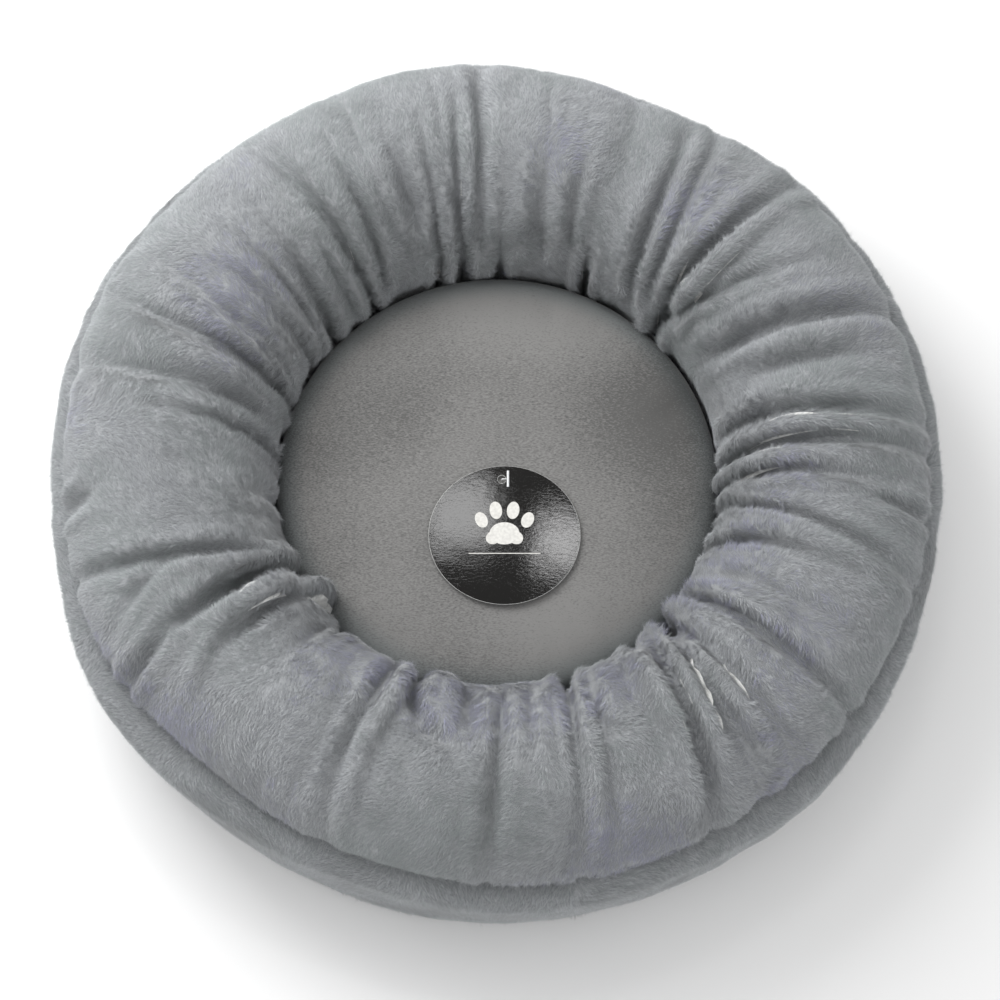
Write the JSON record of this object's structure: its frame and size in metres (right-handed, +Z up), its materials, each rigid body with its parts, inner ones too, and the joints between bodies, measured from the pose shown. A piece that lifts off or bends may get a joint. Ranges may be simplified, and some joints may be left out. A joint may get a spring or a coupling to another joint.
{
  "type": "pet cushion bed",
  "caption": "Round plush pet bed: a soft fibre-filled ring bolster on a non-slip base, a loose round cushion in its well and a small hang tag.",
  "frame": {"origin": "centre of the underside, on the floor", "axes": "+Z up, -Y towards the front, +X to the right seen from the front"},
  "size_m": [0.5, 0.5, 0.14],
  "materials": {
    "plush": "blue-grey long-pile plush",
    "velvet": "grey short-pile velvet",
    "base_fabric": "dark grey woven fabric with non-slip dots",
    "lining_fabric": "plain grey non-woven lining",
    "polyester_fill": "white polyester fibre",
    "thread": "spun polyester thread",
    "elastic": "white covered elastic cord",
    "tag_card": "black laminated card, glossy",
    "fastener_plastic": "translucent natural polypropylene"
  },
  "bodies": {
    "bed": {"base_panel": "base_fabric", "base_wadding": "polyester_fill", "well_lining": "lining_fabric", "side_band": "plush", "top_cover": "plush", "bolster_filling": "polyester_fill", "gathering_elastic": "elastic", "outer_seam_stitching": "thread", "base_seam_stitching": "thread"},
    "cushion": {"cushion_top_panel": "velvet", "cushion_bottom_panel": "lining_fabric", "cushion_filling": "polyester_fill", "cushion_seam_stitching": "thread"},
    "fastener": {"tag_anchor_bar": "fastener_plastic", "tag_filament": "fastener_plastic"},
    "tag": {"hang_tag": "tag_card", "tag_bar": "fastener_plastic"}
  },
  "joints": [
    {"name": "cushion_lift", "type": "slide", "parent": "bed", "child": "cushion", "axis": [0, 0, 1], "range_m": [0, 0.2]},
    {"name": "tag_swivel", "type": "hinge", "parent": "cushion", "child": "fastener", "pos_m": [0.0025, -0.0045, 0.066], "axis": [0, 0, 1], "continuous": true},
    {"name": "tag_lift", "type": "hinge", "parent": "fastener", "child": "tag", "pos_m": [0.004, 0.0035, 0.0669], "axis": [-1, 0, 0], "range_deg": [0, 150], "deforming": ["tag_filament"]}
  ]
}
